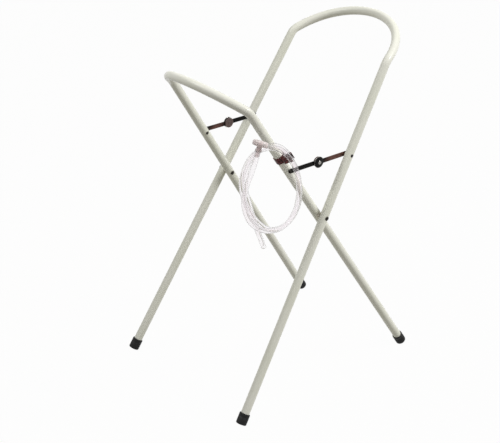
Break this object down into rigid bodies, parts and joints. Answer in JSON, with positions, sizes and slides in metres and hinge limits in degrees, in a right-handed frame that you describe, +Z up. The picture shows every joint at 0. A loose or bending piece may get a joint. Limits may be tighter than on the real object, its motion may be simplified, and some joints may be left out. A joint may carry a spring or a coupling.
{
  "type": "baby bath stand",
  "caption": "Folding X-shaped stand of bent tube with two hoops that carry a baby bath, braces that hold it open, and a coiled drain hose in a clip.",
  "frame": {"origin": "on the floor under the middle of the stand's length and width when it is open", "axes": "+Z up, +X towards the end with the tall frame's hoop, +Y towards the side without the hose"},
  "size_m": [0.6656, 0.4954, 0.8902],
  "materials": {
    "frame_enamel": "glossy cream enamel",
    "cap_rubber": "satin moulded rubber",
    "rivet_steel": "dark plated steel",
    "spacer_plastic": "cream, matt",
    "link_steel": "near-black plating with a brown tint, satin",
    "washer_steel": "zinc plated",
    "dome_plastic": "polished black",
    "ring_steel": "bright plated",
    "bright_steel": "polished rivet head",
    "base_plastic": "brown, satin",
    "clip_plastic": "dark red-brown, glossy",
    "connector_plastic": "pale pink, translucent",
    "hose_pvc": "clear, slightly milky"
  },
  "bodies": {
    "short_frame_set": {"short_frame": "frame_enamel", "short_foot_cap_left": "cap_rubber", "short_foot_cap_right": "cap_rubber", "pivot_rivet_left": "rivet_steel", "pivot_rivet_right": "rivet_steel", "pivot_spacer_left": "spacer_plastic", "pivot_spacer_right": "spacer_plastic", "short_brace_rivet_left": "rivet_steel", "short_brace_rivet_right": "rivet_steel", "short_brace_washer_left": "washer_steel", "short_brace_washer_right": "washer_steel", "hose_clip": "clip_plastic", "hose_connector": "connector_plastic", "drain_hose": "hose_pvc"},
    "tall_frame_set": {"tall_frame": "frame_enamel", "tall_foot_cap_left": "cap_rubber", "tall_foot_cap_right": "cap_rubber", "tall_brace_rivet_left": "rivet_steel", "tall_brace_rivet_right": "rivet_steel", "tall_brace_washer_left": "washer_steel", "tall_brace_washer_right": "washer_steel"},
    "short_link_set_left": {"short_link_left": "link_steel", "knuckle_base_left": "base_plastic"},
    "tall_link_set_left": {"tall_link_left": "link_steel", "knuckle_dome_left": "dome_plastic", "knuckle_ring_left": "ring_steel", "knuckle_rivet_left": "bright_steel"},
    "short_link_set_right": {"short_link_right": "link_steel", "knuckle_base_right": "base_plastic"},
    "tall_link_set_right": {"tall_link_right": "link_steel", "knuckle_dome_right": "dome_plastic", "knuckle_ring_right": "ring_steel", "knuckle_rivet_right": "bright_steel"}
  },
  "joints": [
    {"name": "frame_fold", "type": "hinge", "parent": "short_frame_set", "child": "tall_frame_set", "pos_m": [-0.02628, 0, 0.47], "axis": [0, 1, 0], "range_deg": [-47, 0]},
    {"name": "short_link_turn_left", "type": "hinge", "parent": "short_frame_set", "child": "short_link_set_left", "pos_m": [-0.11531, 0.175, 0.60974], "axis": [0, 1, 0], "range_deg": [-96.6, 0]},
    {"name": "tall_link_turn_left", "type": "hinge", "parent": "tall_frame_set", "child": "tall_link_set_left", "pos_m": [0.06274, 0.177, 0.60974], "axis": [0, 1, 0], "range_deg": [0, 96.6]},
    {"name": "short_link_turn_right", "type": "hinge", "parent": "short_frame_set", "child": "short_link_set_right", "pos_m": [-0.11531, -0.175, 0.60974], "axis": [0, 1, 0], "range_deg": [-96.6, 0]},
    {"name": "tall_link_turn_right", "type": "hinge", "parent": "tall_frame_set", "child": "tall_link_set_right", "pos_m": [0.06274, -0.177, 0.60974], "axis": [0, 1, 0], "range_deg": [0, 96.6]}
  ],
  "couplings": [
    {"joint": "short_link_turn_left", "follows": "frame_fold", "ratio": 2.055},
    {"joint": "tall_link_turn_left", "follows": "frame_fold", "ratio": -2.055},
    {"joint": "short_link_turn_right", "follows": "frame_fold", "ratio": 2.055},
    {"joint": "tall_link_turn_right", "follows": "frame_fold", "ratio": -2.055}
  ]
}
